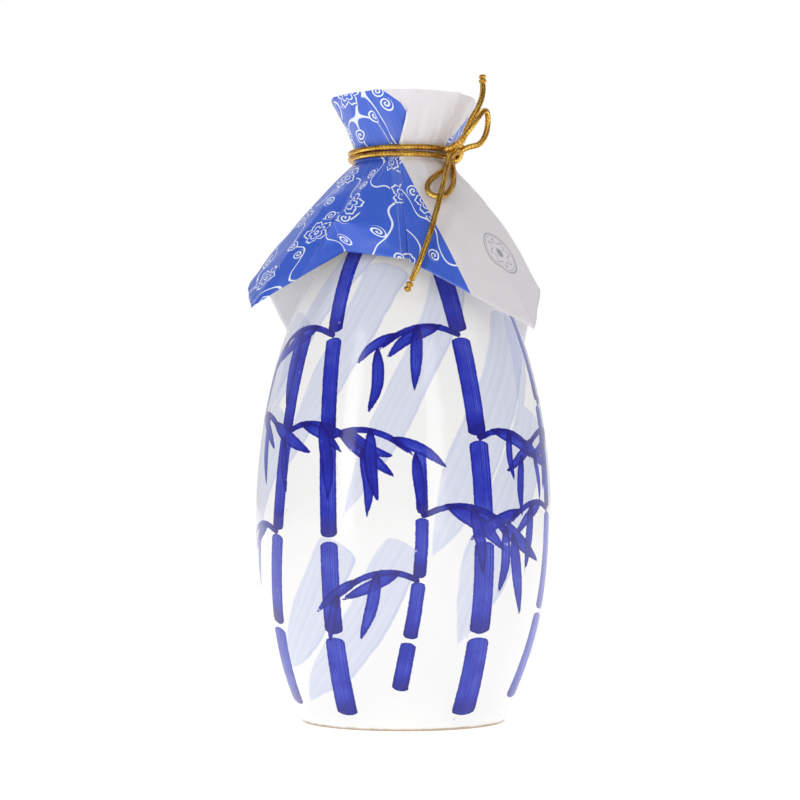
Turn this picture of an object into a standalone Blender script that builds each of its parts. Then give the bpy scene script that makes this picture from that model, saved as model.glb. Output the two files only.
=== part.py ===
"""A stoppered porcelain wine bottle under a tied paper cover, modelled in metres.

Z is up, the origin is on the bottle's axis at the plane that it stands on, and the front faces -Y.
The bottle is one hollow turned body. A flared stopper with three sealing rings and a gasket closes it.
A square paper sheet is laid over the stopper and bound round the neck with two turns of gilt cord, which
ends in a bow of two loops and two knotted tails.
"""

import math

import bmesh
import bpy
from mathutils import Vector

# Clearances
TOUCH_GAP = 0.0003  # between pieces that rest against each other
SEAL_GAP = 0.0003  # between a sealing ring and the bore

# Bottle
BELLY_RADIUS = 0.0460
BELLY_HEIGHT = 0.0620  # height of the widest place
FOOT_RADIUS = 0.0316
FOOT_FULLNESS = 2.4  # a higher value fills out the foot's curve sooner
SHOULDER_RISE = 0.0970  # half height of the ellipse that draws the shoulder
NECK_RADIUS = 0.0145
NECK_LENGTH = 0.0200  # straight stretch below the mouth
NECK_FILLET = 0.0040  # how far out from the neck the shoulder starts to turn up
BORE_RADIUS = 0.0095
WALL = 0.0055
FLOOR_THICKNESS = 0.0060
FOOT_RING_WIDTH = 0.0045
FOOT_RECESS = 0.0014
FOOT_ROUND = 0.0008
LIP_ROUND = 0.0012
FLOOR_COVE = 0.0050  # the round between the floor and the wall inside

# Stopper
HEAD_TOP_RADIUS = 0.0218
HEAD_FOOT_RADIUS = 0.0158
HEAD_HEIGHT = 0.0118
HEAD_ROUND = 0.0009
GASKET_THICKNESS = 0.0010
GASKET_RADIUS = 0.0134
PLUG_LENGTH = 0.0200  # how far the plug reaches down the bore
PLUG_SLACK = 0.0009  # between the plug's shank and the bore
PLUG_CHAMFER = 0.0012
SPIGOT_RADIUS = 0.0055
SPIGOT_HEIGHT = 0.0065
RING_SECTION = 0.0020
RING_COUNT = 3

# Paper cover
SHEET_SIDE = 0.1600
SHEET_TURN = math.radians(40.0)  # azimuth of the sheet's right front corner
PAPER_THICKNESS = 0.0006  # the folds' mean thickness
EDGE_FLARE = math.radians(31.0)  # angle from the vertical at the middle of a side
CORNER_FLARE = math.radians(41.0)
SKIRT_BOW = 0.0022  # how far the skirt bulges out between the cord and its hem

# Cord
CORD_DIAMETER = 0.0018
CORD_TURNS = 2
CORD_DROP = 0.0040  # from the mouth down to the middle of the turns
KNOT_AZIMUTH = math.radians(51.0)  # from the front towards +X
KNOT_HALF = Vector((0.0036, 0.0021, 0.0033))  # along the turns, outwards, up
END_KNOT_RADIUS = 0.0013
END_KNOT_LENGTH = 0.0034
CORD_STEP = 0.0044  # spacing of the points along a cord

# Routes of the cord, chosen by hand, each point counted from the knot's middle
RIGHT_LOOP = [
    (0.0018, -0.0035, 0.0027),
    (0.0036, -0.0038, 0.0049),
    (0.0055, -0.0035, 0.0073),
    (0.0073, -0.0024, 0.0100),
    (0.0087, -0.0008, 0.0121),
    (0.0099, 0.0010, 0.0129),
    (0.0106, 0.0026, 0.0119),
    (0.0107, 0.0033, 0.0096),
    (0.0103, 0.0032, 0.0069),
    (0.0093, 0.0025, 0.0043),
    (0.0078, 0.0017, 0.0026),
    (0.0058, 0.0011, 0.0019),
    (0.0042, 0.0007, 0.0014),
]
UPPER_TAIL = [
    (0.0026, -0.0003, 0.0032),
    (0.0042, 0.0002, 0.0073),
    (0.0059, 0.0008, 0.0110),
    (0.0073, 0.0015, 0.0134),
    (0.0083, 0.0023, 0.0157),
    (0.0089, 0.0033, 0.0177),
    (0.0092, 0.0043, 0.0198),
    (0.0092, 0.0051, 0.0217),
]
LOWER_LOOP = [
    (-0.0021, -0.0023, -0.0043),
    (-0.0034, -0.0052, -0.0064),
    (-0.0056, -0.0077, -0.0083),
    (-0.0075, -0.0102, -0.0103),
    (-0.0083, -0.0124, -0.0125),
    (-0.0076, -0.0135, -0.0144),
    (-0.0057, -0.0138, -0.0154),
    (-0.0034, -0.0132, -0.0152),
    (-0.0016, -0.0113, -0.0136),
    (-0.0004, -0.0084, -0.0111),
    (-0.0001, -0.0050, -0.0081),
    (-0.0002, -0.0010, -0.0056),
]
LOWER_TAIL = [
    (-0.0014, -0.0047, -0.0024),
    (-0.0017, -0.0061, -0.0037),
    (-0.0022, -0.0081, -0.0058),
    (-0.0027, -0.0111, -0.0087),
    (-0.0035, -0.0143, -0.0121),
    (-0.0044, -0.0167, -0.0156),
    (-0.0054, -0.0186, -0.0197),
    (-0.0067, -0.0209, -0.0245),
    (-0.0084, -0.0225, -0.0300),
    (-0.0106, -0.0243, -0.0361),
    (-0.0131, -0.0245, -0.0418),
]

# Facets
BOTTLE_SEGMENTS = 48
SMALL_SEGMENTS = 32
PAPER_SEGMENTS = 64
CORD_RESOLUTION = 2  # Blender's bevel resolution: eight sides

# Heights that follow from the sizes above
SHOULDER_END_RADIUS = NECK_RADIUS + NECK_FILLET
SHOULDER_END = BELLY_HEIGHT + SHOULDER_RISE * math.sqrt(1 - (SHOULDER_END_RADIUS / BELLY_RADIUS) ** 2)
SHOULDER_SLOPE = (BELLY_RADIUS / SHOULDER_RISE) ** 2 * (SHOULDER_END - BELLY_HEIGHT) / SHOULDER_END_RADIUS
FILLET_TURN = SHOULDER_END + NECK_FILLET / SHOULDER_SLOPE
NECK_START = FILLET_TURN + math.hypot(NECK_FILLET, FILLET_TURN - SHOULDER_END)
MOUTH = NECK_START + NECK_LENGTH
GASKET_FOOT = MOUTH + TOUCH_GAP
HEAD_FOOT = GASKET_FOOT + GASKET_THICKNESS + TOUCH_GAP
HEAD_TOP = HEAD_FOOT + HEAD_HEIGHT
SHANK_RADIUS = BORE_RADIUS - PLUG_SLACK
PAPER_TOP = HEAD_TOP + TOUCH_GAP + PAPER_THICKNESS
PAPER_RIM = HEAD_TOP_RADIUS + TOUCH_GAP + PAPER_THICKNESS
PAPER_WAIST = NECK_RADIUS + TOUCH_GAP + PAPER_THICKNESS
CORD_LEVEL = MOUTH - CORD_DROP
CORD_BAND = CORD_TURNS * CORD_DIAMETER
CORD_RING = PAPER_WAIST + TOUCH_GAP + CORD_DIAMETER / 2  # radius of the turns' centreline
KNOT_OUT = CORD_RING + CORD_DIAMETER / 2 + TOUCH_GAP + KNOT_HALF.y
KNOT_MIDDLE = Vector((KNOT_OUT * math.sin(KNOT_AZIMUTH), -KNOT_OUT * math.cos(KNOT_AZIMUTH), CORD_LEVEL))

PARTS = "tied_bottle"
CUTTERS = "cutters"


# Helpers


def collection(name):
    made = bpy.data.collections.new(name)
    bpy.context.scene.collection.children.link(made)
    return made


def place(obj, group):
    """Moves an object out of every collection and into one."""
    for old in list(obj.users_collection):
        old.objects.unlink(obj)
    group.objects.link(obj)
    return obj


def finish_material(name, colour, roughness, metallic=0.0):
    made = bpy.data.materials.new(name)
    made.use_nodes = True
    shader = made.node_tree.nodes["Principled BSDF"]
    shader.inputs["Base Color"].default_value = (*colour, 1.0)
    shader.inputs["Roughness"].default_value = roughness
    shader.inputs["Metallic"].default_value = metallic
    return made


def smooth_shading(mesh, angle=math.radians(40.0)):
    mesh.shade_smooth()
    mesh.set_sharp_from_angle(angle=angle)


def arc(centre, radius, start, end, steps):
    """Points of an arc in the (radius, height) plane, angles in degrees from +X."""
    return [
        (
            centre[0] + radius * math.cos(math.radians(start + (end - start) * k / steps)),
            centre[1] + radius * math.sin(math.radians(start + (end - start) * k / steps)),
        )
        for k in range(steps + 1)
    ]


def bend(start, corner, end, steps):
    """Points of a quadratic curve from start to end that leaves and arrives towards the corner."""
    points = []
    for k in range(steps + 1):
        t = k / steps
        weights = ((1 - t) ** 2, 2 * t * (1 - t), t**2)
        points.append(tuple(sum(w * p[i] for w, p in zip(weights, (start, corner, end))) for i in (0, 1)))
    return points


def turned(name, profile, group, material, segments, closed=False):
    """A turned piece: the profile, top to bottom down its outer side, goes round the Z axis."""
    mesh = bpy.data.meshes.new(name)
    edges = [(k, k + 1) for k in range(len(profile) - 1)]
    if closed:
        edges.append((len(profile) - 1, 0))
    mesh.from_pydata([(r, 0.0, z) for r, z in profile], edges, [])
    obj = bpy.data.objects.new(name, mesh)
    screw = obj.modifiers.new("turn", "SCREW")
    screw.axis = "Z"
    screw.angle = math.tau
    screw.steps = segments
    screw.render_steps = segments
    screw.use_merge_vertices = True
    screw.merge_threshold = 0.00001
    screw.use_smooth_shade = True
    group.objects.link(obj)
    mesh.materials.append(material)
    return obj


def from_knot(points):
    """A route's points in the object's frame."""
    return [KNOT_MIDDLE + Vector(p) for p in points]


def smooth_route(points, step):
    """Points about a step apart on the smooth curve through the route's points."""
    knots = [2 * points[0] - points[1]] + points + [2 * points[-1] - points[-2]]
    route = []
    for a, b, c, d in zip(knots, knots[1:], knots[2:], knots[3:]):
        pieces = max(1, round((c - b).length / step * 2))
        for k in range(pieces):
            t = k / pieces
            route.append(0.5 * (2 * b + (c - a) * t + (2 * a - 5 * b + 4 * c - d) * t**2
                                + (3 * b - a - 3 * c + d) * t**3))
    return route + [knots[-2]]


def cord_tube(name, route, group, material):
    """A length of the cord along a route, with closed ends."""
    curve = bpy.data.curves.new(name, "CURVE")
    curve.dimensions = "3D"
    curve.bevel_depth = CORD_DIAMETER / 2
    curve.bevel_resolution = CORD_RESOLUTION
    curve.use_fill_caps = True
    points = smooth_route(from_knot(route), CORD_STEP)
    spline = curve.splines.new("POLY")
    spline.points.add(len(points) - 1)
    for slot, point in zip(spline.points, points):
        slot.co = (*point, 1.0)
    curve.materials.append(material)
    obj = bpy.data.objects.new(name, curve)
    group.objects.link(obj)
    return obj


# Bottle


def outer_line(steps_below=9, steps_above=12, steps_fillet=4):
    """The outside of the body from the foot up to the start of the straight neck."""
    below = [
        (
            FOOT_RADIUS + (BELLY_RADIUS - FOOT_RADIUS) * (1 - (1 - k / steps_below) ** FOOT_FULLNESS),
            BELLY_HEIGHT * k / steps_below,
        )
        for k in range(steps_below)
    ]
    end_angle = math.asin((SHOULDER_END - BELLY_HEIGHT) / SHOULDER_RISE)
    above = [
        (
            BELLY_RADIUS * math.cos(end_angle * k / steps_above),
            BELLY_HEIGHT + SHOULDER_RISE * math.sin(end_angle * k / steps_above),
        )
        for k in range(steps_above + 1)
    ]
    fillet = bend(above[-1], (NECK_RADIUS, FILLET_TURN), (NECK_RADIUS, NECK_START), steps_fillet)
    return below + above + fillet[1:]


def inner_line(outside):
    """The inside of the wall: the outside moved in by the wall, from the floor's cove up to the bore."""
    moved = []
    for before, here, after in zip(outside, outside[1:], outside[2:]):
        along = Vector((after[0] - before[0], after[1] - before[1])).normalized()
        moved.append((here[0] - WALL * along[1], here[1] + WALL * along[0]))
    floor = FOOT_RECESS + FLOOR_THICKNESS
    bore_lead = BORE_RADIUS + NECK_FILLET
    wall = [p for p in moved if p[1] > floor + FLOOR_COVE and p[0] > bore_lead]
    cove = bend((wall[0][0] - FLOOR_COVE, floor), (wall[0][0] - FLOOR_COVE / 3, floor), wall[0], 3)
    throat = bend(wall[-1], (BORE_RADIUS, wall[-1][1] + NECK_FILLET), (BORE_RADIUS, NECK_START), 4)
    return [(0.0, floor)] + cove[:-1] + wall[:-1] + throat


def make_bottle(group, material):
    """The body: the inside from the floor to the lip, then the outside, the foot ring and its recess."""
    outside = outer_line()
    lip_out = arc((NECK_RADIUS - LIP_ROUND, MOUTH - LIP_ROUND), LIP_ROUND, 90, 0, 3)
    lip_in = arc((BORE_RADIUS + LIP_ROUND, MOUTH - LIP_ROUND), LIP_ROUND, 180, 90, 3)
    foot = arc((FOOT_RADIUS - FOOT_ROUND, FOOT_ROUND), FOOT_ROUND, 0, -90, 2)
    ring_inner = FOOT_RADIUS - FOOT_RING_WIDTH
    recess = [(ring_inner, 0.0), (ring_inner - FOOT_RECESS, FOOT_RECESS), (0.0, FOOT_RECESS)]
    body = [p for p in reversed(outside) if p[1] > 2 * FOOT_ROUND]
    profile = inner_line(outside) + lip_in + lip_out + body + foot + recess
    return turned("bottle", profile, group, material, BOTTLE_SEGMENTS)


# Stopper


def make_head(group, material):
    """The flared head that the paper is drawn over, with a blind hole below for the plug's spigot."""
    slant = math.degrees(math.atan2(HEAD_TOP_RADIUS - HEAD_FOOT_RADIUS, HEAD_HEIGHT))
    top = arc((HEAD_TOP_RADIUS - HEAD_ROUND, HEAD_TOP - HEAD_ROUND), HEAD_ROUND, 90, -slant, 3)
    socket = SPIGOT_RADIUS + TOUCH_GAP
    roof = HEAD_FOOT + SPIGOT_HEIGHT + TOUCH_GAP
    under = [(HEAD_FOOT_RADIUS, HEAD_FOOT), (socket, HEAD_FOOT), (socket, roof), (0.0, roof)]
    return turned("stopper_head", [(0.0, HEAD_TOP)] + top + under, group, material, SMALL_SEGMENTS)


def ring_heights():
    """Heights of the sealing rings, spread evenly down the plug."""
    return [MOUTH - PLUG_LENGTH * (k + 0.7) / (RING_COUNT + 0.3) for k in range(RING_COUNT)]


def make_plug(group, material):
    """The plug: a shank with a groove for each sealing ring, and a spigot that is glued into the head."""
    shank_top = HEAD_FOOT - TOUCH_GAP
    spigot_top = HEAD_FOOT + SPIGOT_HEIGHT
    foot = MOUTH - PLUG_LENGTH
    half_groove = RING_SECTION / 2 + TOUCH_GAP
    groove_floor = BORE_RADIUS - SEAL_GAP - RING_SECTION - TOUCH_GAP
    profile = [(0.0, spigot_top), (SPIGOT_RADIUS, spigot_top), (SPIGOT_RADIUS, shank_top), (SHANK_RADIUS, shank_top)]
    for height in ring_heights():
        profile += [
            (SHANK_RADIUS, height + half_groove),
            (groove_floor, height + half_groove),
            (groove_floor, height - half_groove),
            (SHANK_RADIUS, height - half_groove),
        ]
    profile += [(SHANK_RADIUS, foot + PLUG_CHAMFER), (SHANK_RADIUS - PLUG_CHAMFER, foot), (0.0, foot)]
    return turned("stopper_plug", profile, group, material, SMALL_SEGMENTS)


def make_sealing_rings(group, material):
    """Three rubber rings, each in its own groove of the plug."""
    names = ("upper", "middle", "lower")
    for number, height in enumerate(ring_heights()):
        bpy.ops.mesh.primitive_torus_add(
            major_radius=BORE_RADIUS - SEAL_GAP - RING_SECTION / 2,
            minor_radius=RING_SECTION / 2,
            major_segments=SMALL_SEGMENTS,
            minor_segments=8,
            location=(0.0, 0.0, height),
        )
        ring = place(bpy.context.object, group)
        ring.name = "sealing_ring_" + (names[number] if number < len(names) else str(number + 1))
        ring.data.materials.append(material)
        ring.data.shade_smooth()


def make_gasket(group, material):
    """The flat washer between the head and the lip, round the plug's shank."""
    inner = SHANK_RADIUS + TOUCH_GAP
    top = GASKET_FOOT + GASKET_THICKNESS
    outline = [(inner, top), (GASKET_RADIUS, top), (GASKET_RADIUS, GASKET_FOOT), (inner, GASKET_FOOT)]
    return turned("mouth_gasket", outline, group, material, SMALL_SEGMENTS, closed=True)


# Paper cover


def sheet_reach(azimuth):
    """Distance on the flat sheet from its middle to its edge, 1 at the middle of a side."""
    from_corner = (azimuth - SHEET_TURN) % (math.pi / 2)
    return 1 / math.cos(math.pi / 4 - from_corner)


def make_paper(group, material):
    """The sheet over the stopper: a flat top, a cone down to the cord and a skirt that ends in four corners."""
    band_top = CORD_LEVEL + CORD_BAND / 2 + TOUCH_GAP
    band_foot = CORD_LEVEL - CORD_BAND / 2 - TOUCH_GAP
    rim_round = HEAD_ROUND + TOUCH_GAP + PAPER_THICKNESS
    rim_centre = (HEAD_TOP_RADIUS - HEAD_ROUND, HEAD_TOP - HEAD_ROUND)
    cone = math.hypot(PAPER_RIM - PAPER_WAIST, rim_centre[1] - band_top)
    lean = math.degrees(math.asin((PAPER_RIM - PAPER_WAIST) / cone))
    spent = PAPER_RIM + cone + band_top - band_foot
    side_length = SHEET_SIDE / 2 - spent
    corner_length = SHEET_SIDE / math.sqrt(2) - spent
    upper = [(PAPER_RIM * 0.5, PAPER_TOP)]
    upper += arc(rim_centre, rim_round, 90, -lean, 4)
    upper += [(PAPER_WAIST, band_top), (PAPER_WAIST, band_foot)]
    skirt_shares = (0.35, 0.7, 1.0)

    def skirt_point(azimuth, share):
        length = SHEET_SIDE / 2 * sheet_reach(azimuth) - spent
        cornering = (length - side_length) / (corner_length - side_length)
        flare = EDGE_FLARE + (CORNER_FLARE - EDGE_FLARE) * cornering
        bulge = SKIRT_BOW * 4 * share * (1 - share)
        radius = PAPER_WAIST + length * share * math.sin(flare) + bulge * math.cos(flare)
        return radius, band_foot - length * share * math.cos(flare) + bulge * math.sin(flare)

    built = bmesh.new()
    middle = built.verts.new((0.0, 0.0, PAPER_TOP))
    rings = []
    for level in range(len(upper) + len(skirt_shares)):
        ring = []
        for k in range(PAPER_SEGMENTS):
            azimuth = SHEET_TURN + math.tau * k / PAPER_SEGMENTS
            if level < len(upper):
                radius, height = upper[level]
            else:
                radius, height = skirt_point(azimuth, skirt_shares[level - len(upper)])
            ring.append(built.verts.new((radius * math.sin(azimuth), -radius * math.cos(azimuth), height)))
        rings.append(ring)
    for k in range(PAPER_SEGMENTS):
        after = (k + 1) % PAPER_SEGMENTS
        built.faces.new((middle, rings[0][k], rings[0][after]))
        for above, below in zip(rings, rings[1:]):
            built.faces.new((above[k], below[k], below[after], above[after]))
    bmesh.ops.recalc_face_normals(built, faces=built.faces)
    mesh = bpy.data.meshes.new("paper_cover")
    built.to_mesh(mesh)
    built.free()
    mesh.shade_smooth()
    obj = bpy.data.objects.new("paper_cover", mesh)
    solidify = obj.modifiers.new("thickness", "SOLIDIFY")
    solidify.thickness = PAPER_THICKNESS
    solidify.offset = -1.0
    solidify.use_even_offset = True
    mesh.materials.append(material)
    group.objects.link(obj)
    return obj


# Cord


def make_turns(group, material):
    """The two turns round the neck, lying one on the other, as one ring of their outer shape."""
    half = CORD_DIAMETER / 2
    straight = CORD_BAND / 2 - half
    upper = arc((CORD_RING, CORD_LEVEL + straight), half, 180, 0, 4)
    lower = arc((CORD_RING, CORD_LEVEL - straight), half, 0, -180, 4)
    return turned("cord_turns", upper + lower, group, material, BOTTLE_SEGMENTS, closed=True)


def make_knot(group, material):
    """The bow's knot, which sits against the turns."""
    bpy.ops.mesh.primitive_uv_sphere_add(segments=20, ring_count=10, radius=1.0)
    knot = place(bpy.context.object, group)
    knot.name = "cord_knot"
    for vertex in knot.data.vertices:
        vertex.co = Vector((vertex.co.x * KNOT_HALF.x, vertex.co.y * KNOT_HALF.y, vertex.co.z * KNOT_HALF.z))
    knot.location = KNOT_MIDDLE
    knot.rotation_euler = (0.0, 0.0, KNOT_AZIMUTH)
    knot.data.materials.append(material)
    knot.data.shade_smooth()
    return knot


def make_end_knot(name, route, group, material):
    """The small stopper knot on the end of a tail, in line with the cord."""
    before, tip = from_knot(route[-2:])
    along = (tip - before).normalized()
    bpy.ops.mesh.primitive_uv_sphere_add(segments=12, ring_count=8, radius=1.0)
    knot = place(bpy.context.object, group)
    knot.name = name
    for vertex in knot.data.vertices:
        co = vertex.co
        vertex.co = Vector((co.x * END_KNOT_RADIUS, co.y * END_KNOT_RADIUS, co.z * END_KNOT_LENGTH / 2))
    knot.rotation_mode = "QUATERNION"
    knot.rotation_quaternion = along.to_track_quat("Z", "Y")
    knot.location = tip + along * (TOUCH_GAP + END_KNOT_LENGTH / 2)
    knot.data.materials.append(material)
    knot.data.shade_smooth()
    return knot


def main():
    for old in list(bpy.data.objects):
        bpy.data.objects.remove(old)
    group = collection(PARTS)

    glaze = finish_material("white_glaze", (0.86, 0.85, 0.83), 0.12)
    wood = finish_material("turned_wood", (0.52, 0.34, 0.18), 0.55)
    plastic = finish_material("plug_plastic", (0.80, 0.78, 0.72), 0.45)
    rubber = finish_material("seal_rubber", (0.78, 0.77, 0.74), 0.60)
    paper = finish_material("printed_paper", (0.10, 0.24, 0.72), 0.32)
    gilt = finish_material("gilt_cord", (0.86, 0.56, 0.12), 0.30, metallic=0.9)

    make_bottle(group, glaze)
    make_head(group, wood)
    make_plug(group, plastic)
    make_sealing_rings(group, rubber)
    make_gasket(group, rubber)
    make_paper(group, paper)
    make_turns(group, gilt)
    make_knot(group, gilt)
    cord_tube("bow_loop_right", RIGHT_LOOP, group, gilt)
    cord_tube("bow_loop_lower", LOWER_LOOP, group, gilt)
    cord_tube("cord_tail_upper", UPPER_TAIL, group, gilt)
    cord_tube("cord_tail_lower", LOWER_TAIL, group, gilt)
    make_end_knot("end_knot_upper", UPPER_TAIL, group, gilt)
    make_end_knot("end_knot_lower", LOWER_TAIL, group, gilt)


main()
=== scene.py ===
"""Looks of a stoppered porcelain wine bottle under a paper cover that a gilt cord ties down.

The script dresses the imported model. It works in metres with Z up, and the front faces -Y.
"""

import math
from itertools import accumulate

import bmesh
import bpy
import numpy as np
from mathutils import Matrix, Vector


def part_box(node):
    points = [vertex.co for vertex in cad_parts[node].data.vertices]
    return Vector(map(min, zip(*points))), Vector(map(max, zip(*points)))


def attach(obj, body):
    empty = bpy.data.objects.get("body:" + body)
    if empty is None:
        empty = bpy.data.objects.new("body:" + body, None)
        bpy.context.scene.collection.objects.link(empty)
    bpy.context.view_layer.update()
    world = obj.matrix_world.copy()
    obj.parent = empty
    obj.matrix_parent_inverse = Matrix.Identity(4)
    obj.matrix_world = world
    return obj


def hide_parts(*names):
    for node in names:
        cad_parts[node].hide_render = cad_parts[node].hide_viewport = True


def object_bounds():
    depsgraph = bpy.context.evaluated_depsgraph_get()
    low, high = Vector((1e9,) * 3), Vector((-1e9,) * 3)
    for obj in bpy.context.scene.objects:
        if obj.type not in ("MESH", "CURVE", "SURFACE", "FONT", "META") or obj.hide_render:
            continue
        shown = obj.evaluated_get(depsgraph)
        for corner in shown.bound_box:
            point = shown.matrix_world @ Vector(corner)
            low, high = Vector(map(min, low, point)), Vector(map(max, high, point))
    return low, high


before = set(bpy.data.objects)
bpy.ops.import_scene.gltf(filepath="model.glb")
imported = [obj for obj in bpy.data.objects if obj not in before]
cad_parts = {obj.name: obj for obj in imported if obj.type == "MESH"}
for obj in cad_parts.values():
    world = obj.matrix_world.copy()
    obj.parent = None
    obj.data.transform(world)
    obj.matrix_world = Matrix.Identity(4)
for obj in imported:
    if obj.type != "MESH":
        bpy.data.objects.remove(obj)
cad_low, cad_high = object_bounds()

# Camera, light and table
#
# The bottle stands in a white tent. Two tall soft boxes leave upright bands on the glaze, and a third one
# above lights the paper and the shoulder. What the gloss mirrors is darker in front and white behind.

eye_distance = 0.71
eye_height = 0.0773
aim = Vector((-0.0011, 0.0, (cad_low.z + cad_high.z) / 2 - 0.0008))
width_in_view = 0.2503

camera = bpy.data.objects.new("camera", bpy.data.cameras.new("camera"))
bpy.context.scene.collection.objects.link(camera)
bpy.context.scene.camera = camera
camera.data.sensor_width = 36.0
camera.data.lens = camera.data.sensor_width * eye_distance / width_in_view
camera.data.clip_start = 0.01
camera.location = (0.0, -eye_distance, eye_height)
camera.rotation_euler = (aim - camera.location).to_track_quat("-Z", "Y").to_euler()
bpy.context.scene.view_settings.view_transform = "Standard"


def soft_box(name, azimuth, height, distance, size, strength):
    """A flat rectangular light at an azimuth from the front, turned to the bottle's middle."""
    light = bpy.data.lights.new(name, "AREA")
    light.shape = "RECTANGLE"
    light.size, light.size_y = size
    light.energy = strength * size[0] * size[1]
    lamp = bpy.data.objects.new(name, light)
    bpy.context.scene.collection.objects.link(lamp)
    turn = math.radians(azimuth)
    lamp.location = (distance * math.sin(turn), -distance * math.cos(turn), height)
    lamp.rotation_euler = (Vector((0.0, 0.0, min(height, 0.6))) - lamp.location).to_track_quat("-Z", "Y").to_euler()


soft_box("left_box", -44.0, 0.55, 1.5, (0.30, 1.5), 8.0)
soft_box("right_box", 25.0, 0.55, 1.5, (0.34, 1.5), 6.0)
soft_box("top_box", -175.0, 1.5, 0.9, (1.2, 0.9), 9.0)

world = bpy.data.worlds.new("white_tent")
bpy.context.scene.world = world
world.use_nodes = True
tent = world.node_tree
tent.nodes.clear()
seen_white = tent.nodes.new("ShaderNodeBackground")
seen_white.inputs["Color"].default_value = (1.0, 1.0, 1.0, 1.0)
seen_white.inputs["Strength"].default_value = 1.0
tent_light = tent.nodes.new("ShaderNodeBackground")
tent_light.inputs["Color"].default_value = (0.97, 0.98, 1.0, 1.0)
which_ray = tent.nodes.new("ShaderNodeLightPath")
tent_axes = tent.nodes.new("ShaderNodeSeparateXYZ")
behind = tent.nodes.new("ShaderNodeMapRange")
behind.interpolation_type = "SMOOTHSTEP"
behind.inputs["From Min"].default_value = -0.1
behind.inputs["From Max"].default_value = 0.8
behind.inputs["To Min"].default_value = 0.24
behind.inputs["To Max"].default_value = 0.66
tent_strength = tent.nodes.new("ShaderNodeMix")
tent_strength.inputs[2].default_value = 0.62
tent.links.new(tent.nodes.new("ShaderNodeTexCoord").outputs["Generated"], tent_axes.inputs[0])
tent.links.new(tent_axes.outputs[1], behind.inputs["Value"])
tent.links.new(which_ray.outputs["Is Glossy Ray"], tent_strength.inputs[0])
tent.links.new(behind.outputs[0], tent_strength.inputs[3])
tent.links.new(tent_strength.outputs[0], tent_light.inputs["Strength"])
ray_mix = tent.nodes.new("ShaderNodeMixShader")
world_out = tent.nodes.new("ShaderNodeOutputWorld")
tent.links.new(which_ray.outputs["Is Camera Ray"], ray_mix.inputs[0])
tent.links.new(tent_light.outputs[0], ray_mix.inputs[1])
tent.links.new(seen_white.outputs[0], ray_mix.inputs[2])
tent.links.new(ray_mix.outputs[0], world_out.inputs["Surface"])

table_half = 6.0
table_mesh = bpy.data.meshes.new("table")
table_mesh.from_pydata(
    [(-table_half, -table_half, 0.0), (table_half, -table_half, 0.0),
     (table_half, table_half, 0.0), (-table_half, table_half, 0.0)], [], [(0, 1, 2, 3)]
)
table = bpy.data.objects.new("table", table_mesh)
bpy.context.scene.collection.objects.link(table)
table_paint = bpy.data.materials.new("white_table")
table_paint.use_nodes = True
table_shader = table_paint.node_tree.nodes["Principled BSDF"]
table_shader.inputs["Base Color"].default_value = (0.94, 0.94, 0.94, 1.0)
table_shader.inputs["Roughness"].default_value = 0.9
table_shader.inputs["Specular IOR Level"].default_value = 0.0
table_shader.inputs["Emission Color"].default_value = (1.0, 1.0, 1.0, 1.0)
table_shader.inputs["Emission Strength"].default_value = 0.46
table_mesh.materials.append(table_paint)

# Cord: turns, knot, bow and tails
#
# A soft cord of 1.8 mm, a cotton core wound with gilt foil. Two turns bind the paper to the neck, and a bow
# of two loops ties them. Each tail ends in a small bound knot that keeps the foil from unwinding.

cord_diameter = 0.0018
knot_azimuth = math.radians(51.0)
knot_low, knot_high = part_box("cord_knot")
knot_middle = np.array((knot_low + knot_high) / 2)
turns_low, turns_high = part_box("cord_turns")
turns_radius = turns_high.x - cord_diameter / 2
turns_level = (turns_low.z + turns_high.z) / 2

right_loop = [
    (0.0018, -0.0035, 0.0027), (0.0036, -0.0038, 0.0049), (0.0055, -0.0035, 0.0073),
    (0.0073, -0.0024, 0.0100), (0.0087, -0.0008, 0.0121), (0.0099, 0.0010, 0.0129),
    (0.0106, 0.0026, 0.0119), (0.0107, 0.0033, 0.0096), (0.0103, 0.0032, 0.0069),
    (0.0093, 0.0025, 0.0043), (0.0078, 0.0017, 0.0026), (0.0058, 0.0011, 0.0019),
    (0.0042, 0.0007, 0.0014),
]
upper_tail = [
    (0.0026, -0.0003, 0.0032), (0.0042, 0.0002, 0.0073), (0.0059, 0.0008, 0.0110),
    (0.0073, 0.0015, 0.0134), (0.0083, 0.0023, 0.0157), (0.0089, 0.0033, 0.0177),
    (0.0092, 0.0043, 0.0198), (0.0092, 0.0051, 0.0217),
]
lower_loop = [
    (-0.0021, -0.0023, -0.0043), (-0.0034, -0.0052, -0.0064), (-0.0056, -0.0077, -0.0083),
    (-0.0075, -0.0102, -0.0103), (-0.0083, -0.0124, -0.0125), (-0.0076, -0.0135, -0.0144),
    (-0.0057, -0.0138, -0.0154), (-0.0034, -0.0132, -0.0152), (-0.0016, -0.0113, -0.0136),
    (-0.0004, -0.0084, -0.0111), (-0.0001, -0.0050, -0.0081), (-0.0002, -0.0010, -0.0056),
]
lower_tail = [
    (-0.0014, -0.0047, -0.0024), (-0.0017, -0.0061, -0.0037), (-0.0022, -0.0081, -0.0058),
    (-0.0027, -0.0111, -0.0087), (-0.0035, -0.0143, -0.0121), (-0.0044, -0.0167, -0.0156),
    (-0.0054, -0.0186, -0.0197), (-0.0067, -0.0209, -0.0245), (-0.0084, -0.0225, -0.0300),
    (-0.0106, -0.0243, -0.0361), (-0.0131, -0.0245, -0.0418),
]


def in_knot(along, out, up):
    """A place in the knot, counted in metres along the turns, outwards and up, as an offset from its middle."""
    return (
        along * math.cos(knot_azimuth) + out * math.sin(knot_azimuth),
        along * math.sin(knot_azimuth) - out * math.cos(knot_azimuth),
        up,
    )


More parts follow.
